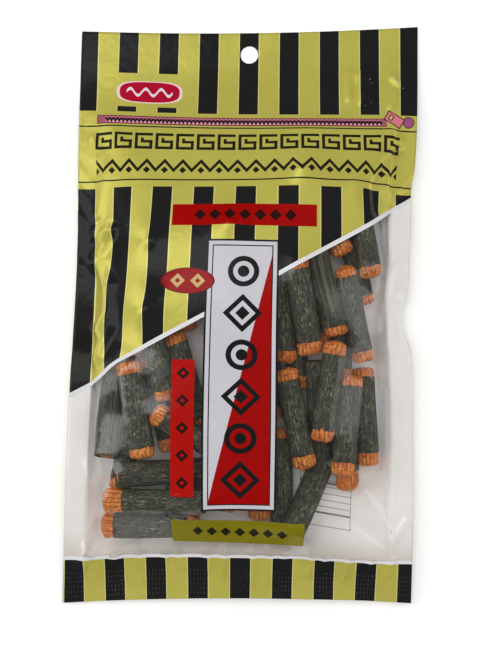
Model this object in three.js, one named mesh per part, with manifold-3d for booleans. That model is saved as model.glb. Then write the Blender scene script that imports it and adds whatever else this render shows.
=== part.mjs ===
// A flat, side-sealed retail pouch of seaweed-wrapped rice crackers, lying on its back.
// Millimetres. +X runs across the pouch, +Y from its bottom seal to its hang hole, +Z up from the
// surface it lies on. The origin is under the middle of the pouch, on that surface.
import * as THREE from "three";
import { mergeVertices } from "three/addons/utils/BufferGeometryUtils.js";
import Module from "manifold-3d";

// Driving dimensions.
const width = 152.4; // across the side seals, 6 inches
const length = 252; // along the middle, from cut to cut, of a 10 inch pouch
const sideSeal = 10;
const bottomSeal = 18.5;
const header = 39.5; // flat film above the filling chamber
const sealThickness = 1.2;
const hangHole = { diameter: 8, fromTop: 9.8 };

// How far each end of a cut edge stands out beyond the middle of that edge.
const topCut = { left: -0.6, right: 4.6 };
const bottomCut = { left: 4.6, right: 0.3 };

// The filling: a loose heap of sticks, three deep in the middle.
const stickDiameter = 10.8;
const stickLength = 42.4;
const fullHeight = 24.6; // top of the film over the heap
const stickRelief = 1.1; // how far the film sinks between two sticks

// How far the film slopes from the seals before it reaches its full height.
const shoulder = 22;
const bottomSlope = 42;
const topSlope = 80;

// Height of the seals above the surface that the pouch lies on.
const sideHeight = 6.2;
const bottomHeight = 3.3;

// Grid cells of the top and bottom faces.
const cells = { sealAcross: 2, chamberAcross: 36, bottom: 4, chamber: 42, header: 8 };

// Rises from 0 at one place to 1 at the other, whichever of the two is larger.
function smooth(from, to, at) {
  const t = THREE.MathUtils.clamp((at - from) / (to - from), 0, 1);
  return t * t * (3 - 2 * t);
}
const bump = (at, centre, spread) => Math.exp(-(((at - centre) / spread) ** 2));
const wave = (at, pitch, shift = 0) => Math.sin((2 * Math.PI * (at + shift)) / pitch);

// Half the width at height v above the bottom edge, on the left (-1) or right (+1).
// The filling draws both sides in, and the right seal has one short kink.
function halfWidth(v, side) {
  if (side < 0) return width / 2 - 1.8 * bump(v, 150, 45);
  return width / 2 - 3.4 * bump(v, 148, 48) - 3.8 * bump(v, 123.5, 9) - 0.9 * bump(v, 181, 8);
}

// How far a cut edge stands out, from its left end (x = 0) to its right end (x = 1).
function beyond(cut, x) {
  const s = 2 * x - 1;
  return (s * (cut.right - cut.left) + s * s * (cut.right + cut.left)) / 2;
}

// Height of the middle of the bonded film: along the side seals, the bottom seal and the header.
function sealHeight(u, v) {
  const leftDip = -3.8 * bump(v, 122, 22);
  const rightWave = 1.2 * bump(v, 110, 35) - 2.4 * bump(v, 147, 8);
  const side = sideHeight + (u < 0 ? leftDip : rightWave) * smooth(20, width / 2, Math.abs(u));
  const cut = bottomHeight + 2 * bump(u, 8, 40);
  const level = THREE.MathUtils.lerp(cut, side, smooth(0, 50, v));
  const askew = 1 + 0.35 * (u / (width / 2)) + 0.4 * bump(u, 25, 40);
  const nearTop = smooth(length - header - 25, length - header, v);
  const fall = smooth(length - 6, length - header - 25, v);
  return sealThickness / 2 + level * fall * THREE.MathUtils.lerp(1, askew, nearTop);
}

// Rises from 0 to 1 over a distance, steeply at first.
function swell(at, distance) {
  const t = THREE.MathUtils.clamp(at / distance, 0, 1);
  return t * (2 - t);
}

// 0 on the bonded film and 1 over the heap. The film slopes up evenly beside the side seals, and
// it falls away slowly towards the header, because the sticks stop short of it.
function chamber(u, v) {
  const inside = halfWidth(v, Math.sign(u)) - sideSeal - Math.abs(u);
  const across = (THREE.MathUtils.clamp(inside / shoulder, 0, 1) + smooth(0, shoulder, inside)) / 2;
  return across * swell(v - bottomSeal, bottomSlope) * swell(length - header - v, topSlope);
}

// The front film over the heap, sunk a little between the sticks.
function frontHeight(u, v) {
  const across = wave(u + 0.12 * v, stickDiameter) ** 2;
  const along = wave(v + 0.3 * u, 2 * stickLength) ** 2;
  return fullHeight - stickRelief * (across + 0.6 * along);
}

// Maps a point of one film, whose x and y run from 0 to 1 over the pouch, to its place.
function place(x, y, isFront) {
  const u = (x - 0.5) * width;
  const v = y * length;
  const seal = sealHeight(u, v);
  const filled = chamber(u, v);
  const bonded = seal + (isFront ? 0.5 : -0.5) * sealThickness;
  const z = isFront
    ? THREE.MathUtils.lerp(bonded, frontHeight(u, v), filled)
    : bonded * (1 - smooth(0, 0.6, filled));
  const drawn = halfWidth(v, Math.sign(u)) / (width / 2);
  const up = beyond(topCut, x) * smooth(length - header, length, v);
  const down = beyond(bottomCut, x) * smooth(2 * bottomSeal, 0, v);
  return new THREE.Vector3(u * drawn, v - length / 2 + up - down, z);
}

// Positions of grid lines from 0 to 1, with whole cells in each band of the given sizes.
function gridLines(bands) {
  const total = bands.reduce((sum, band) => sum + band.size, 0);
  const lines = [0];
  let start = 0;
  for (const { size, count } of bands) {
    for (let i = 1; i <= count; i += 1) lines.push((start + (size * i) / count) / total);
    start += size;
  }
  return lines;
}

// The whole pouch as one closed surface: a thin box whose faces follow the two films.
function pouchGeometry() {
  const columns = gridLines([
    { size: sideSeal, count: cells.sealAcross },
    { size: width - 2 * sideSeal, count: cells.chamberAcross },
    { size: sideSeal, count: cells.sealAcross },
  ]);
  const rows = gridLines([
    { size: bottomSeal, count: cells.bottom },
    { size: length - bottomSeal - header, count: cells.chamber },
    { size: header, count: cells.header },
  ]);
  const nx = columns.length - 1;
  const ny = rows.length - 1;
  const geometry = new THREE.BoxGeometry(nx, ny, 1, nx, ny, 1);
  const position = geometry.getAttribute("position");
  for (let i = 0; i < position.count; i += 1) {
    const column = Math.round(position.getX(i) + nx / 2);
    const row = Math.round(position.getY(i) + ny / 2);
    const point = place(columns[column], rows[row], position.getZ(i) > 0);
    position.setXYZ(i, point.x, point.y, point.z);
  }
  return geometry;
}

function holePunch() {
  const radius = hangHole.diameter / 2;
  const punch = new THREE.CylinderGeometry(radius, radius, 6 * sealHeight(0, length), 32);
  punch.rotateX(Math.PI / 2);
  return punch.translate(0, length / 2 - hangHole.fromTop, 0);
}

const wasm = await Module();
wasm.setup();

function toSolid(geometry) {
  geometry.deleteAttribute("normal");
  geometry.deleteAttribute("uv");
  const merged = mergeVertices(geometry, 1e-4);
  return new wasm.Manifold(new wasm.Mesh({
    numProp: 3,
    vertProperties: merged.getAttribute("position").array,
    triVerts: new Uint32Array(merged.index.array),
  }));
}

function toGeometry(solid) {
  const mesh = solid.getMesh();
  const geometry = new THREE.BufferGeometry();
  geometry.setAttribute("position", new THREE.BufferAttribute(mesh.vertProperties, 3));
  geometry.setIndex(new THREE.BufferAttribute(mesh.triVerts, 1));
  geometry.computeVertexNormals();
  return geometry;
}

const printedFilm = new THREE.MeshStandardMaterial({ color: 0xaea64a, roughness: 0.35, metalness: 0.6 });
const punched = toSolid(pouchGeometry()).subtract(toSolid(holePunch()));
const pouch = new THREE.Mesh(toGeometry(punched), printedFilm);
pouch.name = "cracker_pouch";

const part = new THREE.Group();
part.add(pouch);
export default part;
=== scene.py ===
"""A sealed, flat film pouch of seaweed-wrapped rice crackers, lying on its back.

The crackers are settled as a heap of capsules, and the film is then solved over them as two
inextensible sheets that are bonded at the seals. Lengths are millimetres until a mesh is made.
"""

import math

import bpy
import numpy as np
from mathutils import Matrix, Quaternion, Vector


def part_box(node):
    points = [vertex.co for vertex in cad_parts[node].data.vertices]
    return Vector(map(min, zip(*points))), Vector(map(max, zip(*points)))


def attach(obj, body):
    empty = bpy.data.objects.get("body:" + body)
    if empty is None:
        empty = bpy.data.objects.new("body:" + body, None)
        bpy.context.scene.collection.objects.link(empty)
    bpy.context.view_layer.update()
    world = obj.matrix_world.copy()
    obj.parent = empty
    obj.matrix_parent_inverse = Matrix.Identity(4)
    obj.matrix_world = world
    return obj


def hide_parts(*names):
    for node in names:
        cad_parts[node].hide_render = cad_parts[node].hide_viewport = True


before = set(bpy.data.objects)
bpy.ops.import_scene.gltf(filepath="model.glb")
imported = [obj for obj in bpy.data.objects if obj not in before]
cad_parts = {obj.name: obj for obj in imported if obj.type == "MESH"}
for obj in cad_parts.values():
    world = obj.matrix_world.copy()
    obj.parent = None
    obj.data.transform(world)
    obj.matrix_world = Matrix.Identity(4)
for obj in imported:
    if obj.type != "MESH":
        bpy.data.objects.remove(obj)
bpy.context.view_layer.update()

MM = 0.001
SEED = 11

# ---- the pouch's sizes
cad_low, cad_high = (np.array(c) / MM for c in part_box("cracker_pouch"))
WIDTH = cad_high[0] - cad_low[0]
FLAT_LENGTH = 256.7  # of the film before its filling draws it in
SIDE_SEAL = 10.0
BOTTOM_SEAL = 18.5
HEADER = 40.0
FILM_HALF = 0.05  # half the thickness of one film
BOND_HALF = 0.06  # from the bond to the middle of either film
HOLE_FROM_TOP = 10.4  # on the flat film
TOP_SKEW = 2.8  # each end of a cut stands this much above or below its middle
BOTTOM_SKEW = 2.0

# ---- the crackers' sizes
STICK_LENGTH = 42.4
BROKEN = {12: 31.0, 31: 36.0, 35: 30.0}  # which ones, and what is left of them
ROUNDED = 0.6  # an end's rounding, as a share of the radius
FLOOR_GAP = 0.75  # under a cracker's mean surface, for its ribs and wrinkles
CLEARANCE = 0.2  # of the film over the crackers


def smooth(start, end, x):
    t = np.clip((x - start) / (end - start), 0, 1)
    return t * t * (3 - 2 * t)


def bump(x, centre, spread):
    return np.exp(-(((x - centre) / spread) ** 2))


# ======== camera
PHOTO = (487, 654)  # pixels
PHOTO_SCALE = 0.4388  # mm of the pouch to a pixel, half way up
POUCH_CENTRE = (243.25, 309.5)  # pixels
SENSOR = 36.0
CAMERA_DISTANCE = 480.0
CAMERA_ELEVATION = 86.7  # degrees
AIM_HEIGHT = 9.0
POUCH_LEAN = 1.36  # degrees clockwise in the picture


def add_camera():
    cam = bpy.data.objects.new("camera", bpy.data.cameras.new("camera"))
    bpy.context.scene.collection.objects.link(cam)
    cam.data.sensor_fit = "VERTICAL"
    cam.data.sensor_height = SENSOR
    cam.data.lens = SENSOR * CAMERA_DISTANCE / (PHOTO[1] * PHOTO_SCALE)
    elevation = math.radians(CAMERA_ELEVATION)
    below = (PHOTO[1] / 2 - POUCH_CENTRE[1]) * PHOTO_SCALE
    beside = (PHOTO[0] / 2 - POUCH_CENTRE[0]) * PHOTO_SCALE
    roll = Matrix.Rotation(math.radians(POUCH_LEAN), 3, "Z")
    target = roll @ Vector((beside, -below, 0)) + Vector((0, 0, AIM_HEIGHT))
    back = Vector((0, -math.cos(elevation), math.sin(elevation)))
    look = Matrix.Rotation(math.radians(90) - elevation, 3, "X")
    place = Matrix.Translation((target + back * CAMERA_DISTANCE) * MM)
    cam.matrix_world = place @ (look @ roll).to_4x4()
    bpy.context.scene.camera = cam


add_camera()

# ======== the heap of crackers
# Each cracker: x and y of its middle, heading in degrees from +X towards +Y, layer and width.
CRACKERS = [
    # right of the label, on the back film
    (49.9, 24.1, 99, 0, 9.5), (35.4, 6.1, 85, 0, 9.8), (27.7, -12.7, 95, 0, 9.3),
    (44.4, -7.3, 96, 0, 9.5), (49.8, -56.3, 89, 0, 9.6), (17.2, -73.3, 87, 0, 9.5),
    (10.9, -69.5, 95, 0, 10.0), (32.4, -44.4, 97, 0, 9.9), (19.5, 46.0, 84, 0, 9.8),
    # right of the label, over those
    (54.1, -45.7, 95, 1, 9.5), (17.7, -1.5, 95, 1, 9.6), (33.8, 43.9, 119, 1, 10.0),
    (29.4, -81.4, 66, 1, 10.8), (50.0, 35.6, 102, 2, 10.2), (47.8, -1.6, 103, 2, 9.5),
    (35.7, 9.7, 106, 2, 10.0), (25.6, 1.8, 101, 2, 10.8), (37.5, -34.5, 83, 2, 9.6),
    (23.8, -46.9, 103, 2, 10.2), (45.8, -49.2, 86, 2, 10.0),
    # left of the label
    (-18.9, -56.6, 150, 2, 9.8), (-43.7, -1.2, -97, 0, 9.5), (-58.2, -2.9, -92, 0, 9.6),
    (-25.2, 11.0, -93, 0, 10.0), (-11.0, 10.4, -93, 0, 9.8), (-37.4, -42.5, 105, 0, 9.3),
    (-40.0, 10.0, -87, 1, 10.2), (-31.8, -71.2, -178, 1, 10.8), (-36.3, -82.9, -179, 1, 10.2),
    (-38.0, -95.0, -178, 1, 11.0), (-36.8, -19.7, 103, 1, 9.8), (-55.0, -47.4, 93, 1, 11.0),
    (-45.0, -45.1, 101, 2, 11.6), (-23.8, -31.7, 108, 2, 10.8), (-53.4, -59.6, 82, 0, 9.6),
    (-16.0, -82.2, 177, 2, 10.6),
    # under the label
    (2.4, -16.4, 94, 0, 9.6), (-1.1, -57.0, 90, 0, 9.8), (-2.5, 22.6, 90, 0, 10.2),
    (9.4, -28.1, 89, 0, 9.6), (-7.5, -35.7, 94, 1, 10.0), (8.2, 11.6, 93, 1, 10.0),
    (-11.1, 17.9, 74, 1, 10.2),
]
middles, headings, layers, widths = np.split(np.array(CRACKERS, float), (2, 3, 4), axis=1)
headings = np.radians(headings[:, 0])
layers = layers[:, 0].astype(int)
radii = widths[:, 0] / 2
count = len(radii)
rng = np.random.default_rng(SEED)
lengths = STICK_LENGTH * rng.uniform(0.975, 1.025, count)
lengths[list(BROKEN)] = list(BROKEN.values())

# How they settle: speeds are in mm to a step.
STAGE_STEPS = (150, 300, 400, 150)  # one stage for each layer that drops in, and one with all of them free
SWEEPS = 5  # of parting overlaps, in a step
DROP = 16.0  # of a layer, above a cracker's width
FALL = 0.03
KEPT_SPEED = 0.92
HOLD = (0.05, 0.3, 0.5)  # how firmly each layer keeps to its places, as a share of the way in a step
SETTLED_GIVE = 0.12  # how easily those of the layers below move, when the last one to drop gives 1
PUSH = 0.75  # of an overlap, taken out in a sweep
X_REACH, Y_REACH = (-60, 59), (-101, 70)  # of the ends of their axes
FILLED_MIDDLE, FILLED_REACH = -10, (66, 105)  # the filled part: its middle in y, and its half sizes
EDGE_HEIGHT, CROWN = 8, 16.5  # the room under the film at its edge, and how much more there is in the middle


def ceiling(x, y):
    """The height that the stretched film leaves for the crackers."""
    across = (1 - np.minimum(np.abs(x / FILLED_REACH[0]) ** 4, 1)) ** 0.7
    along = (1 - np.minimum(np.abs((y - FILLED_MIDDLE) / FILLED_REACH[1]) ** 4, 1)) ** 0.6
    return EDGE_HEIGHT + CROWN * across * along


def closest_points(p1, q1, p2, q2):
    """Where pairs of segments come closest, as a share of the way along each."""
    d1, d2, r = q1 - p1, q2 - p2, p1 - p2
    a, e, b = (d1 * d1).sum(1), (d2 * d2).sum(1), (d1 * d2).sum(1)
    c, f = (d1 * r).sum(1), (d2 * r).sum(1)
    cross = a * e - b * b
    s = np.where(cross > 1e-6, np.clip((b * f - c * e) / np.maximum(cross, 1e-6), 0, 1), 0.5)
    free = (b * s + f) / e
    t = np.clip(free, 0, 1)
    return np.where(free != t, np.clip((b * t - c) / a, 0, 1), s)[:, None], t[:, None]


def part_overlaps(ends, first, second, give):
    """Moves each pair of overlapping capsules apart, the one that gives more by more."""
    s, t = closest_points(ends[first, 0], ends[first, 1], ends[second, 0], ends[second, 1])
    on_first = ends[first, 0] * (1 - s) + ends[first, 1] * s
    gap = ends[second, 0] * (1 - t) + ends[second, 1] * t - on_first
    apart = np.linalg.norm(gap, axis=1)[:, None]
    overlap = np.maximum((radii[first] + radii[second])[:, None] - apart, 0)
    push = gap / np.maximum(apart, 1e-6) * overlap * PUSH
    share = (give[first] / (give[first] + give[second]))[:, None]
    np.add.at(ends, (first, 0), -push * (1 - s) * share)
    np.add.at(ends, (first, 1), -push * s * share)
    np.add.at(ends, (second, 0), push * (1 - t) * (1 - share))
    np.add.at(ends, (second, 1), push * t * (1 - share))


def settle():
    """Lets the crackers down layer by layer, and returns the two ends of each one's axis."""
    half = (lengths / 2 - ROUNDED * radii)[:, None]
    reach = np.stack([np.cos(headings), np.sin(headings)], 1) * half
    ends = np.zeros((count, 2, 3))
    ends[:, 0, :2] = middles - reach
    ends[:, 1, :2] = middles + reach
    radius = radii[:, None]
    target = ends[:, :, :2].copy()
    hold = np.choose(layers, HOLD)[:, None, None]
    speed = np.zeros_like(ends)
    for stage, steps in enumerate(STAGE_STEPS):
        live = np.flatnonzero(layers <= stage)
        dropped = layers == stage
        ends[dropped, :, 2] = (radius + FLOOR_GAP if stage == 0 else 2 * radius + DROP)[dropped]
        first, second = (live[k] for k in np.triu_indices(len(live), 1))
        give = np.where((layers < stage) & dropped.any(), SETTLED_GIVE, 1.0)
        for _ in range(steps):
            speed[live, :, 2] -= FALL
            speed *= KEPT_SPEED
            before = ends.copy()
            ends[live] += speed[live]
            ends[live, :, :2] += ((target - ends[:, :, :2]) * hold)[live]
            for _ in range(SWEEPS):
                along = ends[:, 1] - ends[:, 0]
                length = np.linalg.norm(along, axis=1)[:, None]
                stretch = along * (length - 2 * half) / length / 2
                ends[:, 0] += stretch
                ends[:, 1] -= stretch
                part_overlaps(ends, first, second, give)
                x, y, z = ends[:, :, 0], ends[:, :, 1], ends[:, :, 2]
                if stage > 0:
                    z = np.minimum(z, ceiling(x, y) - radius)
                ends[live, :, 2] = np.maximum(z, radius + FLOOR_GAP)[live]
                ends[:, :, 0] = np.clip(x, *X_REACH)
                ends[:, :, 1] = np.clip(y, *Y_REACH)
            speed[live] = (ends - before)[live]
    return ends


ends = settle()


# ======== the crackers' shapes
AROUND = 64
END_ROWS = (0.0, 0.25, 0.7, 1.4, 2.3, 3.4, 4.6, 6.4, 10.6)  # mm from a cracker's end, on its side
CAP_RINGS = (0.3, 0.62, 0.86)  # of the end's radius
DOME = (0.8, 0.6, 0.3)  # how far those rings stand out, in mm
WRAP_ROWS = 26
UNDER_WRAP = 0.62  # how much slimmer a cracker is where it is wrapped
MEAN_RIB = 0.64  # the mean of |cos|, about which the ribs rise and fall
FLARE, FLARE_FADE = 0.1, (9, 4)  # of the rice near its ends, and where that fades in from
LUMPS, END_LUMPS, END_WAVE = 0.14, 0.14, 0.22  # of the rice, and how much more there is at its ends
ROUGH = 0.2  # of a cracker's end
CREASE_DEPTH, PINCH_DEPTH, RAGGED = 0.26, 0.14, 0.22  # of a wrap
RIB_HEIGHT, RIB_HEIGHT_IN_WRAP = 0.75, 0.22
RICE_WIDTH, WRAP_WIDTH = 0.93, 0.985  # of the cracker's width, before their relief
END_CURVE, END_DRAW, END_POWER = 1.6, 0.26, 2.2  # how far from the end its rounding starts, and its form
WRAP_THICKNESS = 0.28  # where it is turned in at its ends
LAP, LAP_FADE = 0.26, 0.5  # height of the lapped seam, and how many radians it takes to fade
SHEET_SIZE = (32, 40)  # of the wrap's pattern, round and along a cracker
SHEETS_APART = (37.0, 53.0)  # so that no two wraps show the same part of it
BARE_END = (3.6, 5.6)  # mm of rice that shows at an end
LONG_BARE_ENDS = {(4, 0): 8.0, (28, 1): 8.5}  # by cracker and end
COVERED_ENDS = [(5, 0), (7, 0), (7, 1), (12, 0), (12, 1), (27, 1), (28, 0), (31, 0), (31, 1), (35, 1)]
COVERED = -0.8  # of it, where the wrap reaches past the end
MAP_COLUMNS, MAP_MARGIN = 7, 0.03  # the map for baking, one cell to a cracker


def stick_frames():
    """Each cracker's middle, its axis and two directions across it, turned about it by chance."""
    axis = ends[:, 1] - ends[:, 0]
    axis /= np.linalg.norm(axis, axis=1)[:, None]
    side = np.cross(axis, (0, 0, 1))
    side /= np.linalg.norm(side, axis=1)[:, None]
    roll = rng.uniform(0, 2 * math.pi, (count, 1))
    up = np.cross(side, axis)
    turned = side * np.cos(roll) + up * np.sin(roll)
    return ends.mean(1), axis, turned, np.cross(axis, turned)


centres, axes, sides, ups = stick_frames()
angles = np.arange(AROUND) * (2 * math.pi / AROUND)
bow = rng.normal(0, 0.45, (count, 2))
oval = rng.uniform(-0.035, 0.035, (count, 1, 1))
bare_ends = rng.uniform(*BARE_END, (count, 2))
for key in COVERED_ENDS:
    bare_ends[key] = COVERED
for key, length in LONG_BARE_ENDS.items():
    bare_ends[key] = length


def waves(along, lobes, lengths_mm, terms):
    """A sum of random ripples along and round every stick, between about -1 and 1."""
    total = np.zeros((count, along.shape[1], AROUND))
    for _ in range(terms):
        turns = rng.integers(lobes[0], lobes[1] + 1, (count, 1, 1)) * angles
        rate = 2 * math.pi / rng.uniform(*lengths_mm, (count, 1, 1))
        phase = rng.uniform(0, 2 * math.pi, (2, count, 1, 1))
        lean = np.where(rng.random((count, 1, 1)) < 0.5, 1, -1)
        total += np.cos(turns + lean * rate * along[:, :, None] + phase[0])
        total += np.cos(turns - lean * rate * along[:, :, None] + phase[1])
    return total / math.sqrt(terms) / 2


ribs = rng.integers(13, 17, (count, 1, 1))
rib_phase = rng.uniform(0, math.pi, (count, 1, 1))


def rib_height(along):
    """The ribs along a cracker: round backs and sharp grooves, which wander a little."""
    wander = 0.5 * waves(along, (1, 3), (20, 60), 3)
    return np.abs(np.cos(angles * ribs / 2 + rib_phase + wander)) - MEAN_RIB


def place(along, radius):
    """Points of rings at the distances along the axes, (sticks, rings, around, 3)."""
    sag = (1 - (2 * along / STICK_LENGTH) ** 2)[:, :, None, None]
    ring = np.cos(angles)[:, None] * sides[:, None, None] + np.sin(angles)[:, None] * ups[:, None, None]
    drift = (bow[:, :1] * sides + bow[:, 1:] * ups)[:, None, None]
    middle = centres[:, None, None] + axes[:, None, None] * along[:, :, None, None] + drift * (sag - 0.5)
    points = middle + ring * radius[..., None]
    points[..., 2] = np.maximum(points[..., 2], 2 * FILM_HALF)
    return points


def cell_uv(shares):
    """Moves the corners of one stick's faces, (..., 2), into its own cell of the map, for every stick."""
    k = np.arange(count)
    corner = np.stack([k % MAP_COLUMNS, k // MAP_COLUMNS], -1)[:, None, None, None]
    size = np.array((1 / MAP_COLUMNS, 1 / (-(-count // MAP_COLUMNS))))
    return ((corner + MAP_MARGIN + (1 - 2 * MAP_MARGIN) * shares) * size).reshape(-1, 2)


def tube_faces(rows, closed=False):
    """Quads of a tube of rings, and their corners as shares of a turn and of its length."""
    r, c = np.meshgrid(np.arange(rows if closed else rows - 1), np.arange(AROUND), indexing="ij")
    up, right = (r + 1) % rows, (c + 1) % AROUND
    faces = np.stack([up * AROUND + c, up * AROUND + right, r * AROUND + right, r * AROUND + c], -1)
    turn = np.stack([c, c + 1, c + 1, c], -1) / AROUND
    level = np.stack([r + 1, r + 1, r, r], -1) / rows
    return faces, np.stack([turn, level], -1)


def end_fans(rows):
    """The triangles that close such a tube at both ends, and their corners in the same way."""
    turn = np.arange(AROUND)
    after = (turn + 1) % AROUND
    last = (rows - 1) * AROUND
    pole = np.full(AROUND, rows * AROUND)
    faces = [np.stack([pole, turn, after], -1), np.stack([pole + 1, last + after, last + turn], -1)]
    turns = [np.stack([turn + 0.5, turn + a, turn + 1 - a], -1) / AROUND for a in (0, 1)]
    edge = 1 / (rows + 1)
    levels = np.array([[(0, edge, edge)], [(1, 1 - edge, 1 - edge)]])
    return np.concatenate(faces), np.stack([turns, np.broadcast_to(levels, (2, AROUND, 3))], -1)


def on_every_stick(faces, points_each):
    """The faces of one stick, numbered on for all of them."""
    offset = (np.arange(count) * points_each)[:, None, None]
    return (faces.reshape(1, -1, faces.shape[-1]) + offset).reshape(-1, faces.shape[-1])


def from_both_ends(first, second):
    """Values at an end's rows, and then those at the other end's rows, which run the other way."""
    return np.concatenate([first, second[..., ::-1]], axis=-1)[..., None]


def rough_end(ring, sign):
    """The rings and the middle point that close a cracker, inside the last ring of its side."""
    middle = ring.mean(1, keepdims=True)
    rings = np.stack([middle + (ring - middle) * share for share in CAP_RINGS], 1)
    rough = rng.normal(0, ROUGH, (count, len(CAP_RINGS), AROUND))
    rough = (rough + np.roll(rough, 1, 2) + np.roll(rough, -1, 2)) / 2
    dome = np.array(DOME)[None, :, None] * rng.uniform(-0.5, 1.2, (count, 1, 1))
    pole = middle + sign * dome[:, :1] * axes[:, None] * 1.1
    return rings + (sign * (dome + rough))[..., None] * axes[:, None, None], pole


def rice_crackers():
    """Each cracker is a ribbed, rounded stick, closed by a rough end at both sides."""
    end = np.array(END_ROWS)
    half = (lengths / 2)[:, None]
    along = np.concatenate([-half + end, half - end[::-1]], axis=1)
    rounding = 1 - END_DRAW * (1 - np.minimum(end, END_CURVE) / END_CURVE) ** END_POWER
    radius = radii[:, None, None] * RICE_WIDTH * from_both_ends(rounding, rounding)
    radius = radius * (1 + oval * np.cos(2 * angles))
    ribbing = rib_height(along)
    flare = from_both_ends(*[smooth(*FLARE_FADE, end)] * 2)
    radius = radius + RIB_HEIGHT * ribbing + (LUMPS + END_LUMPS * flare) * waves(along, (2, 9), (3, 9), 8)
    radius = radius + flare * (FLARE + END_WAVE * waves(along, (1, 3), (14, 30), 3))
    wrapped = smooth(0.2, 1.4, end - bare_ends[:, :, None])
    radius = radius - UNDER_WRAP * from_both_ends(wrapped[:, 0], wrapped[:, 1])
    side = place(along, radius)
    (first_rings, first_pole), (last_rings, last_pole) = rough_end(side[:, 0], -1), rough_end(side[:, -1], 1)
    tube = np.concatenate([first_rings, side, last_rings[:, ::-1]], axis=1)
    rows = tube.shape[1]
    points = np.concatenate([tube.reshape(count, -1, 3), first_pole, last_pole], axis=1)

    (quads, quad_uv), (fans, fan_uv) = tube_faces(rows), end_fans(rows)
    quad_uv[..., 1] = (quad_uv[..., 1] * rows + 1) / (rows + 1)
    polygons = [on_every_stick(faces, points.shape[1]) for faces in (quads, fans)]
    shares = np.array(CAP_RINGS)[:, None]
    # The ribs' relief at every corner, as a map that the rice shader reads to paint shade into the grooves.
    relief = np.concatenate([ribbing[:, :1] * shares, ribbing, ribbing[:, -1:] * shares[::-1]], axis=1)
    relief = np.pad(relief.reshape(count, -1), ((0, 0), (0, 2))).ravel()
    relief = np.concatenate([relief[faces.ravel()] for faces in polygons])
    bake = np.concatenate([cell_uv(quad_uv), cell_uv(fan_uv)])
    return points.reshape(-1, 3), polygons, {"OFBake": bake, "ribs": np.stack([relief, relief], -1)}


def seaweed_wraps():
    """Each wrap is a closed sheet rolled round the cracker, creased over its ribs, with a lapped seam."""
    start = -lengths / 2 + bare_ends[:, 0]
    stop = lengths / 2 - bare_ends[:, 1]
    along = start[:, None] + (stop - start)[:, None] * np.linspace(0, 1, WRAP_ROWS)
    radius = radii[:, None, None] * WRAP_WIDTH * (1 + oval * np.cos(2 * angles))
    creases = np.abs(waves(along, (8, 20), (30, 120), 5)) - 0.5
    pinches = np.abs(waves(along, (1, 5), (4, 11), 5)) - 0.5
    lap = np.exp(-angles / LAP_FADE) * LAP
    surface = radius + RIB_HEIGHT_IN_WRAP * rib_height(along)
    surface = surface - CREASE_DEPTH * creases - PINCH_DEPTH * pinches + lap
    ragged = RAGGED * waves(along[:, :1], (2, 9), (20, 30), 5)
    outer = place(along, surface)
    for row in (0, -1):
        outer[:, row] += ragged[:, 0, :, None] * axes[:, None]
    inner = []
    for row in (-1, 0):
        centre = outer[:, row].mean(1, keepdims=True)
        reach = outer[:, row] - centre
        reach *= 1 - WRAP_THICKNESS / np.linalg.norm(reach, axis=2)[..., None]
        inner.append(centre + reach)
    tube = np.concatenate([outer, np.stack(inner, 1)], axis=1)
    rows = tube.shape[1]
    quads, shares = tube_faces(rows, closed=True)
    apart = np.outer(np.arange(count), SHEETS_APART)[:, None, None, None]
    uv_maps = {"OFBake": cell_uv(shares), "sheet": (shares * SHEET_SIZE + apart).reshape(-1, 2)}
    return tube.reshape(-1, 3), [on_every_stick(quads, rows * AROUND)], uv_maps


rice_shape = rice_crackers()
wrap_shape = seaweed_wraps()


# ======== the film
# A height map of the heap, one value to a millimetre.
MAP_X, MAP_Y = 80, 130


def heap_top(points):
    """The height of the heap, a little widened and smoothed."""
    top = np.zeros((2 * MAP_Y + 1, 2 * MAP_X + 1))
    column, row = (np.rint(points[:, :2].T) + ((MAP_X,), (MAP_Y,))).astype(int)
    np.maximum.at(top, (row, column), points[:, 2] + CLEARANCE)
    for axis in (0, 1):
        top = np.maximum(top, np.maximum(np.roll(top, 1, axis), np.roll(top, -1, axis)))
    for axis in (0, 1):
        top = (2 * top + np.roll(top, 1, axis) + np.roll(top, -1, axis)) / 4
    return top


def height_at(surface, x, y):
    """The height map's value at each place, between its points too."""
    fx = np.clip(x + MAP_X, 0, 2 * MAP_X - 0.001)
    fy = np.clip(y + MAP_Y, 0, 2 * MAP_Y - 0.001)
    i, j = fy.astype(int), fx.astype(int)
    a, b = fy - i, fx - j
    lower = surface[i, j] * (1 - b) + surface[i, j + 1] * b
    upper = surface[i + 1, j] * (1 - b) + surface[i + 1, j + 1] * b
    return lower * (1 - a) + upper * a


def half_width(v, side):
    """Half the finished width at height v. The filling draws both sides in; the right seal has a kink."""
    left = WIDTH / 2 - 1.8 * bump(v, 152, 45)
    right = WIDTH / 2 - 3.4 * bump(v, 150, 48) - 3.8 * bump(v, 125.5, 9) - 0.9 * bump(v, 183, 8)
    return np.where(side < 0, left, right)


def disjoint_pairs(rows, columns, di, dj):
    """Slices of a grid that pair each point with the one di rows and dj columns on, no point twice."""
    whole, near, far = slice(None), slice(0, -1), slice(1, None)
    here, there = {0: (whole, whole), 1: (near, far), -1: (far, near)}[dj if di else 0]
    step, size = (di, rows) if di else (dj, columns)
    sets = []
    for start in range(2 * step):
        a, b = slice(start, size - step, 2 * step), slice(start + step, size, 2 * step)
        sets.append(((a, here), (b, there)) if di else ((whole, a), (whole, b)))
    return sets


def keep_distance(sheet, sets, rest, stiffness):
    """Moves the paired points of a sheet towards their distance at rest."""
    for a, b in sets:
        start, end = sheet[(slice(None), *a)], sheet[(slice(None), *b)]
        gap = end - start
        length = np.sqrt((gap * gap).sum(0)) + 1e-9
        gap *= (length - rest) / length * (0.5 * stiffness)
        start += gap
        end -= gap


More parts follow.
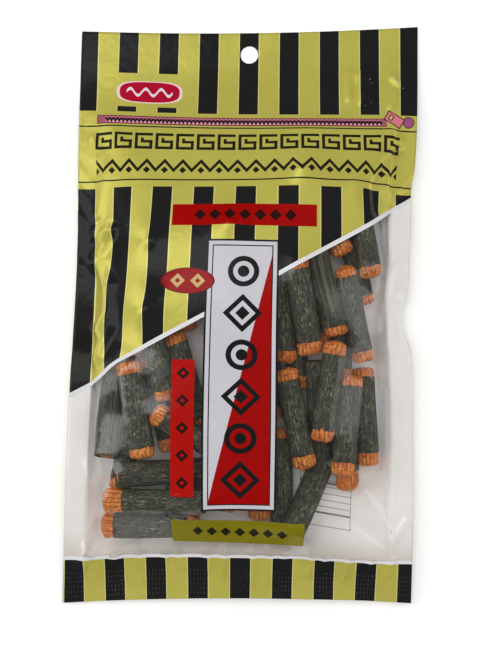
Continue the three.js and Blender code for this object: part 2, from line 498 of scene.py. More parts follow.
def area_normals(sheet):
    """Upward normals at the points of a sheet, as long as the area of a cell."""
    dx, dy = np.gradient(sheet, axis=2), np.gradient(sheet, axis=1)
    return np.cross(dx, dy, axis=0)


def resample(sheet, index, axis):
    """Values at fractional indices along one axis, on a smooth curve through the old ones."""
    end = sheet.shape[axis] - 1
    i = np.clip(np.floor(index).astype(int), 0, end - 1)
    shape = [1, 1, 1]
    shape[axis] = -1
    t = (index - i).astype(np.float32).reshape(shape)
    before, p1, p2, after = (np.take(sheet, np.clip(i + k, 0, end), axis) for k in (-1, 0, 1, 2))
    p0 = np.where((i == 0).reshape(shape), 2 * p1 - p2, before)
    p3 = np.where((i == end - 1).reshape(shape), 2 * p2 - p1, after)
    curve = 2 * p0 - 5 * p1 + 4 * p2 - p3 + t * (3 * (p1 - p2) + p3 - p0)
    return p1 + 0.5 * t * (p2 - p0 + t * curve)


# Stages of the solution: columns, rows, steps, stiffness against bending, kept speed, and unevenness in mm.
STAGES = (
    (20, 33, 1500, 0.05, 0.97, 0.1),
    (39, 65, 800, 0.08, 0.97, 0.03),
    (77, 129, 500, 0.10, 0.97, 0.01),
    (153, 257, 300, 0.15, 0.90, 0.0),
)
PRESSURE = 5e-5
SEAL_WEIGHT = 4.0  # of the bonded film, as a share of the pressure inside
SHEAR = 0.7  # stiffness along the diagonals
SIDE_HOLD, CUT_HOLD = (0.3, 0.015), (0.03, 0.3)  # how firmly the edges keep to their aim, in x and in y
ON_CRACKERS = 0.2  # where the heap is higher than this, it carries the front
PRESSED = 3.0  # and where it is higher than this, it presses the back down
DRAWN_UP, DRAWN_DOWN = 2.6, 1.9  # how far the bottom and the top cut are drawn in, half way across
IRONING = 60  # passes over the header


class Film:
    """The front and back sheets as grids of points, from the bottom cut up and from left to right."""

    def __init__(self, columns, rows):
        self.lay_out(columns, rows)
        flat = np.stack([self.u, self.v - FLAT_LENGTH / 2, np.full(self.u.shape, 3.0)])
        self.front, self.back = flat.astype(np.float32), flat.astype(np.float32)

    def lay_out(self, columns, rows):
        self.u_lines = np.linspace(-WIDTH / 2, WIDTH / 2, columns)
        self.v_lines = np.linspace(0, FLAT_LENGTH, rows)
        self.u, self.v = u, v = np.meshgrid(self.u_lines, self.v_lines)
        self.bonded = (np.abs(u) > WIDTH / 2 - SIDE_SEAL) | (v < BOTTOM_SEAL) | (v > FLAT_LENGTH - HEADER)
        sag = 1 - (2 * u / WIDTH) ** 2
        drawn = DRAWN_UP * smooth(60, 0, v) - DRAWN_DOWN * smooth(FLAT_LENGTH - 70, FLAT_LENGTH, v)
        self.aim_x = (u * half_width(v, np.sign(u)) / (WIDTH / 2)).astype(np.float32)
        self.aim_y = (v - FLAT_LENGTH / 2 + sag * drawn).astype(np.float32)

    def refine(self, columns, rows):
        old_u, old_v = self.u_lines, self.v_lines
        self.lay_out(columns, rows)
        at_row = np.interp(self.v_lines, old_v, np.arange(len(old_v)))
        at_column = np.interp(self.u_lines, old_u, np.arange(len(old_u)))
        self.front = resample(resample(self.front, at_row, 1), at_column, 2)
        self.back = resample(resample(self.back, at_row, 1), at_column, 2)

    def relax(self, steps, top, bending, kept_speed, unevenness):
        """Blows the sheets up over the heap, and keeps them from stretching."""
        rows, columns = self.u.shape
        across, up = WIDTH / (columns - 1), FLAT_LENGTH / (rows - 1)
        links = ((0, 1, 1), (1, 0, 1), (1, 1, SHEAR), (1, -1, SHEAR), (0, 2, bending), (2, 0, bending))
        pairs = [(disjoint_pairs(rows, columns, di, dj), math.hypot(di * up, dj * across), stiffness)
                 for di, dj, stiffness in links]
        front, back, bonded = self.front, self.back, self.bonded
        rng = np.random.default_rng(SEED + rows)
        front[2] += unevenness * rng.standard_normal(front[2].shape).astype(np.float32)
        was_front, was_back = front.copy(), back.copy()
        push = PRESSURE * across * up
        for _ in range(steps):
            for sheet, was, side in ((front, was_front, 1), (back, was_back, -1)):
                speed = (sheet - was) * kept_speed
                was[:] = sheet
                sheet += speed + side * push * area_normals(sheet) / (across * up)
                for sets, rest, stiffness in pairs:
                    keep_distance(sheet, sets, rest, stiffness)
            middle = (front[:, bonded] + back[:, bonded]) / 2
            middle[2] -= SEAL_WEIGHT * push
            front[:, bonded] = back[:, bonded] = middle
            self.hold_edges(front)
            self.hold_edges(back)
            self.rest_on(top)

    def hold_edges(self, sheet):
        whole = slice(None)
        sides = [((whole, end), SIDE_HOLD) for end in (0, -1)]
        cuts = [((end, whole), CUT_HOLD) for end in (0, -1)]
        for edge, hold in sides + cuts:
            for k, aim in enumerate((self.aim_x, self.aim_y)):
                sheet[(k, *edge)] += hold[k] * (aim[edge] - sheet[(k, *edge)])

    def rest_on(self, top):
        """The front lies over the crackers, and they press the back flat on the floor."""
        front, back = self.front, self.back
        support = height_at(top, front[0], front[1])
        np.maximum(front[2], support, out=front[2], where=support > ON_CRACKERS)
        np.minimum(back[2], 0, out=back[2], where=height_at(top, back[0], back[1]) > PRESSED)
        np.maximum(back[2], 0, out=back[2])
        np.maximum(front[2], back[2], out=front[2])


def eased(sheet, share):
    """Moves each point of a film towards the middle of its neighbours. Edges stay in line."""
    padded = np.pad(sheet, ((0, 0), (1, 1), (1, 1)), mode="reflect", reflect_type="odd")
    around = padded[:, 2:, 1:-1] + padded[:, :-2, 1:-1] + padded[:, 1:-1, 2:] + padded[:, 1:-1, :-2]
    return sheet + (around / 4 - sheet) * share


def iron(film):
    """Takes the finest ripples out of both films, and all wrinkles out of the header."""
    film.front, film.back = (eased(eased(sheet, 0.5), 0.5) for sheet in (film.front, film.back))
    header = smooth(FLAT_LENGTH - HEADER - 10, FLAT_LENGTH - HEADER + 2, film.v)
    for _ in range(IRONING):
        film.front = eased(film.front, header)
        np.maximum(film.front[2], 0, out=film.front[2])
    film.back += (film.front - film.back) * smooth(FLAT_LENGTH - HEADER - 1, FLAT_LENGTH - HEADER, film.v)


def solve_film(top):
    """Relaxes the film over the heap, on finer and finer grids."""
    film = Film(*STAGES[0][:2])
    for stage, (columns, rows, steps, *settings) in enumerate(STAGES):
        if stage:
            film.refine(columns, rows)
        film.relax(steps, top, *settings)
    iron(film)
    return film


film = solve_film(heap_top(np.concatenate([rice_shape[0], wrap_shape[0]])))


# ======== meshes
def build_mesh(name, points, polygons, uv_maps, materials, material_of=None):
    """polygons: one array of vertex numbers for each count of corners. uv_maps: corner UVs by name."""
    mesh = bpy.data.meshes.new(name)
    corners = np.concatenate([p.ravel() for p in polygons]).astype(np.int32)
    sizes = np.concatenate([np.full(len(p), p.shape[1]) for p in polygons])
    mesh.vertices.add(len(points))
    mesh.vertices.foreach_set("co", (np.asarray(points) * MM).astype(np.float32).ravel())
    mesh.loops.add(len(corners))
    mesh.loops.foreach_set("vertex_index", corners)
    mesh.polygons.add(len(sizes))
    mesh.polygons.foreach_set("loop_start", (np.cumsum(sizes) - sizes).astype(np.int32))
    for label, uv in uv_maps.items():
        mesh.uv_layers.new(name=label).data.foreach_set("uv", uv.astype(np.float32).ravel())
    for material in materials:
        mesh.materials.append(material)
    if material_of is not None:
        mesh.polygons.foreach_set("material_index", material_of.astype(np.int32))
    mesh.polygons.foreach_set("use_smooth", np.ones(len(sizes), bool))
    mesh.update(calc_edges=True)
    mesh.validate()
    piece = bpy.data.objects.new(name, mesh)
    bpy.context.scene.collection.objects.link(piece)
    return piece


# ---- the two films
CELLS_ACROSS, CELLS_UP = 152, 256
SEAL_ROWS = 18  # the rows of cells of the embossed bottom seal, which are twice as fine
HOLE_ROW = round((FLAT_LENGTH - HOLE_FROM_TOP) / FLAT_LENGTH * CELLS_UP)
HOLE_CELLS = 4  # its radius, in cells of about 1 mm
HOLE_REACH = 2.3  # how far the grid is rounded about it, in radii
EMBOSS = 0.15
EMBOSS_PITCH = (1.5, 2.0)
EMBOSSED = (1.0, 13.5)  # from the bottom cut


def values_at(grid, rows, columns):
    """Values of a (k, rows, columns) grid at fractional places, on smooth curves through the points."""
    count_y, count_x = grid.shape[1:]
    i = np.clip(rows.astype(int), 0, count_y - 2)
    j = np.clip(columns.astype(int), 0, count_x - 2)

    def weights(t):
        return (((2 - t) * t * t - t) / 2, ((3 * t - 5) * t * t + 2) / 2,
                ((4 - 3 * t) * t * t + t) / 2, (t - 1) * t * t / 2)

    total = 0
    for row_step, a in zip((-1, 0, 1, 2), weights(rows - i)):
        y = np.clip(i + row_step, 0, count_y - 1)
        for column_step, b in zip((-1, 0, 1, 2), weights(columns - j)):
            x = np.clip(j + column_step, 0, count_x - 1)
            total = total + grid[:, y, x] * (a * b)
    return total


def film_layout():
    """Grid places (row, column) of a film's points, its faces, and its outline and hole as loops."""
    seal_j, seal_i = np.meshgrid(np.arange(2 * CELLS_ACROSS + 1) / 2, np.arange(2 * SEAL_ROWS + 1) / 2)
    main_j, main_i = np.meshgrid(np.arange(CELLS_ACROSS + 1.0), np.arange(SEAL_ROWS + 1.0, CELLS_UP + 1))
    seal = np.arange(seal_i.size).reshape(seal_i.shape)
    main = seal.size + np.arange(main_i.size).reshape(main_i.shape)

    def quads(index):
        return np.stack([index[:-1, :-1], index[:-1, 1:], index[1:, 1:], index[1:, :-1]], -1)

    low, high = seal[-1], main[0]
    joint = np.stack([low[:-2:2], low[1::2], low[2::2], high[1:], high[:-1]], -1)
    cells = quads(main)
    row, column = HOLE_ROW - SEAL_ROWS - 1, CELLS_ACROSS // 2
    near_hole = np.s_[row - HOLE_CELLS:row + HOLE_CELLS, column - HOLE_CELLS:column + HOLE_CELLS]
    keep = np.ones(cells.shape[:2], bool)
    keep[near_hole] = False
    ring = main[row - HOLE_CELLS:row + HOLE_CELLS + 1, column - HOLE_CELLS:column + HOLE_CELLS + 1]
    hole = np.concatenate([ring[:-1, 0], ring[-1, :-1], ring[:0:-1, -1], ring[0, :0:-1]])
    outline = np.concatenate([seal[0, :-1], seal[:, -1], main[:-1, -1], main[-1, :0:-1],
                              main[:0:-1, 0], main[:1, 0], seal[:0:-1, 0]])

    rows = np.concatenate([seal_i.ravel(), main_i.ravel()])
    columns = np.concatenate([seal_j.ravel(), main_j.ravel()])
    dy, dx = rows - HOLE_ROW, columns - CELLS_ACROSS / 2
    square, away = np.maximum(np.abs(dx), np.abs(dy)), np.hypot(dx, dy)
    rounding = smooth(HOLE_REACH * HOLE_CELLS, HOLE_CELLS, square) * (square / np.maximum(away, 1e-6) - 1)
    rows, columns = rows + dy * rounding, columns + dx * rounding

    faces = [np.concatenate([quads(seal).reshape(-1, 4), cells[keep]]), joint]
    used = np.unique(np.concatenate([f.ravel() for f in faces]))
    renumber = np.zeros(len(rows), int)
    renumber[used] = np.arange(len(used))
    return rows[used], columns[used], [renumber[f] for f in faces], renumber[outline], renumber[hole]


grid_rows, grid_columns, film_faces, outline, hole = film_layout()
flat_u = grid_columns / CELLS_ACROSS * WIDTH - WIDTH / 2
flat_v = grid_rows / CELLS_UP * FLAT_LENGTH


def cut_skew():
    """How far the slanted cuts move the points of the header and the bottom seal."""
    top = TOP_SKEW * smooth(FLAT_LENGTH - HEADER, FLAT_LENGTH, flat_v)
    bottom = BOTTOM_SKEW * smooth(2 * BOTTOM_SEAL, 0, flat_v)
    return flat_u / (WIDTH / 2) * (top + bottom)


def embossing():
    """Small dents that are pressed into the bottom seal, in rows."""
    across = np.cos(flat_u * (2 * math.pi / EMBOSS_PITCH[0]))
    up = np.cos(flat_v * (2 * math.pi / EMBOSS_PITCH[1]))
    low, high = EMBOSSED
    inside = smooth(low, low + 1, flat_v) * smooth(high, high - 1, flat_v)
    return EMBOSS * inside * across * up


# Creases of the film: height, reach to both sides, and the corners of each on the flat film.
CREASES = [
    # a zigzag down the left side
    (1.5, 4.5, [(-60.4, 162.4), (-67.6, 160.6)]),
    (1.8, 5.0, [(-60.4, 162.4), (-67.8, 148.7), (-58.3, 138.1), (-57.0, 126.1), (-63.9, 118.4)]),
    (1.6, 4.5, [(-56.3, 120.4), (-63.9, 104.1)]),
    (0.5, 4.0, [(-63.2, 108.8), (-54.0, 101.2)]),
    # where the filled part starts under the header, left and right
    (1.2, 4.0, [(-68.7, 202.9), (-68.1, 196.0), (-62.8, 190.5), (-63.6, 184.9), (-66.5, 170.0)]),
    (1.5, 3.6, [(64.4, 209.2), (64.0, 199.1), (62.5, 182.6), (67.4, 176.9)]),
    (-1.2, 3.2, [(68.6, 201.7), (60.6, 193.2), (56.4, 183.6), (57.3, 172.9)]),
    (0.8, 2.4, [(69.3, 206.4), (66.0, 203.1)]),
    (-0.5, 4.0, [(50.1, 178.3), (52.3, 168.7)]),
    # dents in the header
    (1.5, 3.6, [(45.6, 237.0), (45.2, 226.0)]),
    (1.8, 3.4, [(49.5, 236.5), (51.0, 232.0), (50.8, 224.5)]),
    (1.4, 3.2, [(52.5, 237.0), (55.8, 232.0), (56.2, 225.0)]),
    (1.3, 2.6, [(64.8, 235.5), (68.2, 231.8)]),
    (1.5, 3.0, [(66.4, 227.5), (64.0, 222.0)]),
    # down the right side
    (0.7, 2.0, [(61.0, 167.9), (64.5, 149.9)]),
    (0.6, 1.8, [(65.7, 169.5), (68.7, 153.5)]),
    (0.8, 4.0, [(69.1, 148.9), (59.4, 122.8)]),
    (0.6, 2.0, [(60.6, 96.9), (62.4, 65.6), (65.5, 33.5)]),
    (0.6, 1.8, [(63.5, 94.7), (64.3, 66.0), (65.5, 33.5)]),
    # round the heap at the bottom
    (1.2, 3.0, [(53.6, 49.3), (61.0, 40.0), (66.2, 26.5), (74.0, 37.8)]),
    (0.9, 2.6, [(48.9, 33.7), (64.4, 22.9)]),
    (0.9, 2.6, [(-64.7, 19.2), (-57.7, 26.3)]),
    (0.9, 2.6, [(-53.7, 20.8), (-43.4, 25.3)]),
    (0.7, 2.0, [(-21.2, 37.4), (-27.0, 41.1), (-29.4, 44.3), (-28.0, 47.2), (-23.4, 47.9)]),
]
BLUNT = 0.5  # the rounding of their tops
CREASE_POWER = 1.2  # of their flanks
PUCKERS = 16  # short ones across the inner edge of the bottom seal
PUCKER_REACH = 2.8


def all_creases():
    picks = np.random.default_rng(SEED + 1)
    for u in np.linspace(-66, 66, PUCKERS) + picks.uniform(-3, 3, PUCKERS):
        lean, up, down, height = picks.uniform((-3, 1, 4, 0.6), (3, 5, 12, 1.2))
        yield height, PUCKER_REACH, [(u, BOTTOM_SEAL - down), (u + lean, BOTTOM_SEAL + up)]
    yield from CREASES


def creased():
    """How far the creases lift the film's points."""
    total = 0
    for height, reach, corners in all_creases():
        nearest = np.inf
        for (u0, v0), (u1, v1) in zip(corners, corners[1:]):
            du, dv = u1 - u0, v1 - v0
            t = np.clip(((flat_u - u0) * du + (flat_v - v0) * dv) / (du * du + dv * dv), 0, 1)
            nearest = np.minimum(nearest, np.hypot(flat_u - u0 - t * du, flat_v - v0 - t * dv))
        total = total + height * np.maximum(1 - np.hypot(nearest, BLUNT) / reach, 0) ** CREASE_POWER
    return total


def bonded_share():
    """1 where the films are bonded, fading to 0 just inside the seals."""
    side = smooth(WIDTH / 2 - SIDE_SEAL - 2, WIDTH / 2 - SIDE_SEAL, np.abs(flat_u))
    bottom = smooth(BOTTOM_SEAL + 2, BOTTOM_SEAL, flat_v)
    header = smooth(-2, 0, flat_v - FLAT_LENGTH + HEADER)
    return np.maximum(side, np.maximum(bottom, header))


# The films' map for baking, as a corner and a size: one face is seen more than the other.
SEEN_PART = (0.01, 0.01), (0.6, 0.98)
HIDDEN_PART = (0.64, 0.01), (0.35, 0.6)


def cut_edges(seen_uv):
    """The walls round a film and its hole, and their corners on the map, beside the face that is seen."""
    count = len(seen_uv)
    walls, wall_uv = [], []
    for loop in (outline, hole):
        ahead = np.roll(loop, -1)
        walls.append(np.stack([loop, loop + count, ahead + count, ahead], -1))
        edge = seen_uv[loop]
        if loop is outline:
            beyond = edge + 0.004 * np.sign(edge - seen_uv.mean(0))
        else:
            beyond = edge + 0.3 * (edge.mean(0) - edge)
        wall_uv.append(np.stack([edge, beyond, np.roll(beyond, -1, 0), np.roll(edge, -1, 0)], 1))
    return walls, wall_uv


def film_piece(name, sheet, side, materials):
    """A closed film: side is 1 for the front and -1 for the back."""
    places = values_at(sheet, grid_rows, grid_columns).T
    normals = values_at(area_normals(sheet), grid_rows, grid_columns).T
    normals /= np.linalg.norm(normals, axis=1)[:, None]
    places[:, 1] += cut_skew()
    raised = embossing() + creased() * (1 if side > 0 else bonded_share())
    middle = places + normals * (side * BOND_HALF + raised)[:, None]
    middle[:, 2] += BOND_HALF + FILM_HALF
    points = np.concatenate([middle + normals * FILM_HALF, middle - normals * FILM_HALF])

    count = len(places)
    flat = np.stack([flat_u, flat_v], -1)
    share = flat / (WIDTH, FLAT_LENGTH) + (0.5, 0)
    seen_uv, hidden_uv = (np.array(corner) + share * size for corner, size in (SEEN_PART, HIDDEN_PART))
    top_uv, under_uv = (seen_uv, hidden_uv) if side > 0 else (hidden_uv, seen_uv)
    polygons, bake, slots = [], [], []
    for faces, (walls, wall_uv) in zip(film_faces, (cut_edges(seen_uv), ([], []))):
        polygons.append(np.concatenate([faces, faces[:, ::-1] + count, *walls]))
        bake += [top_uv[faces], under_uv[faces[:, ::-1]], *wall_uv]
        slots += [0] * len(faces) + [1] * len(faces) + [0] * sum(map(len, walls))
    corner = np.concatenate([p.ravel() for p in polygons]) % count
    uv_maps = {"OFBake": np.concatenate([uv.reshape(-1, 2) for uv in bake]), "flat": flat[corner]}
    return build_mesh(name, points, polygons, uv_maps, materials, np.array(slots))


# ======== materials
def srgb(red, green, blue):
    """A colour as it is seen on a screen, 0 to 255, as the linear one that the shaders take."""
    share = np.array((red, green, blue)) / 255
    return tuple(float(c) for c in np.where(share > 0.04045, ((share + 0.055) / 1.055) ** 2.4, share / 12.92))


class Shader:
    """A node material. Values passed to its methods are numbers, colours or other nodes' outputs."""

    def __init__(self, name):
        self.material = bpy.data.materials.new(name)
        self.material.use_nodes = True
        self.tree = self.material.node_tree
        self.tree.nodes.clear()

    def node(self, kind, inputs=(), **settings):
        node = self.tree.nodes.new("ShaderNode" + kind)
        for name, value in settings.items():
            setattr(node, name, value)
        for key, value in dict(inputs).items():
            socket = node.inputs[key]
            if isinstance(value, bpy.types.NodeSocket):
                self.tree.links.new(value, socket)
            elif socket.type == "RGBA":
                socket.default_value = (*value, 1)
            else:
                socket.default_value = value
        return node

    def math(self, operation, *values):
        return self.node("Math", enumerate(values), operation=operation).outputs[0]

    def within(self, value, start, end):
        """1 from start to end, and 0 outside."""
        return self.near(value, (start + end) / 2, abs(end - start) / 2)

    def joined(self, operation, first, *others):
        for other in others:
            first = self.math(operation, first, other)
        return first

    def both(self, *masks):
        return self.joined("MULTIPLY", *masks)

    def either(self, *masks):
        return self.joined("MAXIMUM", *masks)

    def without(self, mask):
        return self.minus(1.0, mask)

    def minus(self, a, b):
        return self.math("SUBTRACT", a, b)

    def times(self, a, b):
        return self.math("MULTIPLY", a, b)

    def size(self, a):
        return self.math("ABSOLUTE", a)

    def below(self, a, b):
        return self.math("LESS_THAN", a, b)

    def above(self, a, b):
        return self.math("GREATER_THAN", a, b)

    def near(self, a, b, reach):
        return self.math("COMPARE", a, b, reach)

    def every(self, pitch, value):
        """How far the value is past the nearest multiple of the pitch."""
        return self.math("WRAP", value, pitch / 2, -pitch / 2)

    def mix(self, factor, a, b):
        return self.node("Mix", {0: factor, 6: a, 7: b}, data_type="RGBA").outputs[2]

    def blend(self, factor, a, b):
        return self.node("Mix", {0: factor, 2: a, 3: b}, data_type="FLOAT").outputs[0]

    def noise(self, where, scale, detail=3.0, roughness=0.55, distortion=0.0):
        inputs = {"Vector": where, "Scale": scale, "Detail": detail, "Roughness": roughness,
                  "Distortion": distortion}
        return self.node("TexNoise", inputs).outputs[0]

    def spread(self, value, low, high, to_low=0.0, to_high=1.0):
        return self.node("MapRange", {0: value, 1: low, 2: high, 3: to_low, 4: to_high}).outputs[0]

    def scaled(self, where, scale):
        return self.node("Mapping", {"Vector": where, "Scale": scale}).outputs[0]

    def bumped(self, height, distance):
        return self.node("Bump", {"Height": height, "Distance": distance * MM}).outputs[0]

    def principled(self, colour, roughness, **more):
        """more: the shader's other inputs, with underscores for the spaces."""
        inputs = {"Base Color": colour, "Roughness": roughness}
        inputs.update({key.replace("_", " "): value for key, value in more.items()})
        return self.node("BsdfPrincipled", inputs).outputs[0]

    def mix_shader(self, factor, a, b):
        return self.node("MixShader", {0: factor, 1: a, 2: b}).outputs[0]

    def finish(self, surface):
        self.node("OutputMaterial", {"Surface": surface})
        return self.material


GOLD = srgb(206, 198, 92)
PALE_GOLD = srgb(236, 228, 150)
BLACK = srgb(32, 31, 31)
RED = srgb(150, 7, 4)
WHITE = srgb(192, 190, 196)
LINE_WHITE = srgb(216, 214, 217)
PLUM = srgb(60, 35, 45)
DARK = srgb(36, 33, 24)
STRIPE_PITCH = 18.2
STRIPE_HALF = 4.3
STRIPE_EDGE = 0.4  # the pale line along a stripe
PRINT_LEAN, PRINT_SHIFT = 0.0071, -1.63  # the print is a little askew on the film


class Print(Shader):
    """Ink on the flat film, in its own millimetres: p across from the print's centre line, v up."""

    def __init__(self, name):
        super().__init__(name)
        self.flat = self.node("UVMap", uv_map="flat").outputs[0]
        split = self.node("SeparateXYZ", {0: self.flat})
        self.v = split.outputs[1]
        shift = self.math("MULTIPLY_ADD", self.v, PRINT_LEAN, PRINT_SHIFT)
        self.p = self.math("ADD", split.outputs[0], shift)
        self.colour = GOLD
        self.metal = 1.0
        self.clear = 0.0

    def ink(self, mask, colour, metal=0.0):
        self.colour = self.mix(mask, self.colour, colour)
        self.metal = self.blend(mask, self.metal, metal)
        if not isinstance(self.clear, float):
            self.clear = self.both(self.clear, self.without(mask))

    def box(self, p0, p1, v0, v1):
        return self.both(self.within(self.p, p0, p1), self.within(self.v, v0, v1))

    def stripes(self, grown=0.0):
        return self.near(self.every(STRIPE_PITCH, self.p), 0.0, STRIPE_HALF + grown)

    def from_point(self, p, v):
        return self.minus(self.p, p), self.minus(self.v, v)

    def distance(self, a, b):
        return self.math("SQRT", self.math("ADD", self.times(a, a), self.times(b, b)))

    def diamond(self, a, b, size, hole=None):
        reach = self.math("ADD", self.size(a), self.size(b))
        solid = self.below(reach, size)
        return solid if hole is None else self.both(solid, self.without(self.below(reach, hole)))

    def diamonds(self, pitch, v, size, reach, colour):
        """A row of them across, to both sides of the print's centre line."""
        row = self.diamond(self.every(pitch, self.p), self.minus(self.v, v), size)
        self.ink(self.both(self.within(self.p, -reach, reach), row), colour)


# Places of the print, v in millimetres from the bottom cut.
BAND_TOP = 17.6
WINDOW_BOTTOM = 19.3
WINDOW_LEFT_V, WINDOW_SLOPE = 91.4, 0.59  # where the window's upper edge crosses p = -75, and its rise
UPPER_STRIPES, LOWER_STRIPES = 217.6, 181.4  # between them the header is plain
LINES = (210.3, 184.6)
LINE_HALF = 0.32
# Boxes are left, right, bottom and top.
PLAQUE_BED = (-63, -27, 220.2, 237.2)
PLAQUE, PLAQUE_HALF = (-44.6, 227.7), (14.9, 5.6)
TEETH_V, TOOTH_HALF = 213.0, 0.9
TAB, TAB_KNOB = (65.4, 215.6), (72.2, 214.4)
FRET_V, FRET_PITCH = 203.1, 9.2
CHEVRON_V, CHEVRON_PITCH = 189.0, 8.0
RED_BAND = (-31.2, 30.3, 163.7, 173.2)
LABEL = (-15.6, 14.6, 42.2, 157.5)
LABEL_FRAME = ((0.0, BLACK), (0.8, WHITE), (2.4, BLACK), (2.9, WHITE))  # insets and colours
PANEL_INSET = 2.9
SIGN_PITCH = 17.7
OVAL, OVAL_HALF = (-23.1, 139.6), (11.3, 5.6)
SIDE_STRIP = (-28.1, -18.8, 48.0, 106.0)
STRIP_SIGN, STRIP_PITCH = (-23.4, 53.8), 11.6  # the lowest of its diamonds, and how far apart they are
WEIGHT_BAND = (-28.4, 26.6, 26.0, 37.6)


def ground(m):
    """Gold with black stripes, which leave out the plaque's bed and the middle of the header."""
    upper = m.both(m.above(m.v, UPPER_STRIPES), m.without(m.box(*PLAQUE_BED)))
    striped = m.either(upper, m.below(m.v, LOWER_STRIPES))
    m.ink(m.both(m.stripes(STRIPE_EDGE), striped), PALE_GOLD, 1.0)
    m.ink(m.both(m.stripes(), striped), BLACK)


def plaque(m):
    """A rounded oval with a rim, and a wavy line on it."""
    a, b = m.from_point(*PLAQUE)
    across, up = (m.size(m.math("DIVIDE", x, half)) for x, half in zip((a, b), PLAQUE_HALF))
    oval = m.math("ADD", m.math("POWER", across, 3.0), m.math("POWER", up, 3.0))
    wave = m.math("MULTIPLY_ADD", m.math("SINE", m.times(a, 0.9)), 1.7, b)
    m.ink(m.below(oval, 1.0), srgb(222, 196, 196))
    m.ink(m.below(oval, 0.76), srgb(164, 14, 44))
    m.ink(m.both(m.within(a, -10.4, 10.4), m.near(wave, 0.0, 0.75)), srgb(214, 205, 208))


def toothed_band(m):
    """A band of teeth with a zigzag through it, as wide as the print, and its tab."""
    ripple = m.math("PINGPONG", m.p, TOOTH_HALF)
    m.ink(m.box(-68.0, 62, 211.4, 215.6), srgb(104, 42, 58))
    m.ink(m.box(-67.6, 62, 211.8, 215.2), srgb(152, 82, 98))
    m.ink(m.both(m.box(-64.0, 60, 212.0, 215.0), m.above(ripple, 0.5)), srgb(206, 150, 158))
    tooth = m.minus(m.minus(m.v, TEETH_V), m.times(ripple, 1.2))
    m.ink(m.both(m.within(m.p, -64.0, 60), m.near(tooth, 0.0, 0.75)), srgb(44, 26, 38))
    a, b = m.from_point(*TAB_KNOB)
    for radius, colour in ((2.7, PLUM), (2.3, srgb(146, 78, 118))):
        m.ink(m.below(m.distance(a, b), radius), colour)
    a, b = m.from_point(*TAB)
    along = m.math("MULTIPLY_ADD", b, -0.5, m.times(a, 0.87))
    across = m.math("MULTIPLY_ADD", a, 0.5, m.times(b, 0.87))
    for reach, start, end, colour in ((2.6, -4.2, 4.6, PLUM), (2.1, -3.7, 4.1, srgb(206, 112, 126)),
                                      (1.4, -2.6, -0.4, PLUM), (1.0, -2.1, -0.9, srgb(190, 176, 90))):
        m.ink(m.both(m.within(along, start, end), m.within(across, -reach, reach)), colour)


def fretwork(m):
    """Two thin lines, and between them a row of frets and a row of chevrons with dots."""
    for line in LINES:
        m.ink(m.within(m.v, line - LINE_HALF, line + LINE_HALF), BLACK)
    cell = m.every(FRET_PITCH, m.p)
    b = m.minus(m.v, FRET_V)
    square = m.near(m.math("MAXIMUM", m.size(cell), m.size(b)), 3.3, 0.68)
    gap = m.both(m.above(cell, 2.5), m.within(b, 0.5, 2.6))
    hook = m.both(m.within(cell, -1.3, 3.3), m.within(b, -0.9, 0.4))
    inner = m.both(m.within(cell, -1.3, 0.0), m.within(b, -0.9, 1.6))
    fret = m.either(m.both(square, m.without(gap)), hook, inner)
    m.ink(m.both(m.within(m.p, -69.0, 69.0), fret), DARK)
    peak = m.math("PINGPONG", m.p, CHEVRON_PITCH / 2)
    chevron = m.near(m.minus(m.minus(m.v, CHEVRON_V), m.times(peak, 1.15)), 0.0, 1.0)
    between = m.every(CHEVRON_PITCH, m.math("ADD", m.p, CHEVRON_PITCH / 2))
    dot = m.diamond(between, m.minus(m.v, CHEVRON_V + 0.2), 1.6)
    m.ink(m.both(m.within(m.p, -68.0, 68.0), m.either(chevron, dot)), DARK)


def red_band(m):
    m.ink(m.box(*RED_BAND), RED)
    m.diamonds(6.4, 168.4, 2.6, 22.4, srgb(44, 18, 18))


def window(m):
    """The clear window, under a slanted white line and over a level one."""
    rise = m.math("MULTIPLY_ADD", m.math("ADD", m.p, 75.0), WINDOW_SLOPE, WINDOW_LEFT_V)
    edge = m.minus(m.v, rise)
    m.clear = m.both(m.below(edge, 0.0), m.above(m.v, WINDOW_BOTTOM))
    m.metal = m.both(m.metal, m.without(m.clear))
    m.ink(m.both(m.within(edge, -2.1, 0.0), m.above(m.v, WINDOW_BOTTOM)), LINE_WHITE)
    m.ink(m.within(m.v, BAND_TOP, WINDOW_BOTTOM), LINE_WHITE)


def label(m):
    """A framed white panel with a red wedge, and a column of rings and squares in turn."""
    left, right, low, high = LABEL
    for inset, colour in LABEL_FRAME:
        m.ink(m.box(left + inset, right - inset, low + inset, high - inset), colour)
    left, right, low, high = left + PANEL_INSET, right - PANEL_INSET, low + PANEL_INSET, high - PANEL_INSET
    wedge = m.minus(m.minus(m.p, left), m.times(m.minus(m.v, low + 1.6), 0.235))
    panel = m.box(left, right, low, high)
    m.ink(m.both(panel, m.above(wedge, 0.0)), RED)
    row = m.minus(m.v, low + 10.3)
    b = m.every(SIGN_PITCH, row)
    square = m.times(m.math("ADD", m.size(m.p), m.size(b)), 0.8)
    odd = m.below(m.math("WRAP", row, SIGN_PITCH * 1.5, -SIGN_PITCH / 2), SIGN_PITCH / 2)
    shape = m.blend(odd, m.distance(m.p, b), square)
    sign = m.either(m.near(shape, 5.4, 1.1), m.below(shape, 2.4))
    m.ink(m.both(panel, sign, m.below(m.v, high - 1.1)), srgb(28, 27, 28))


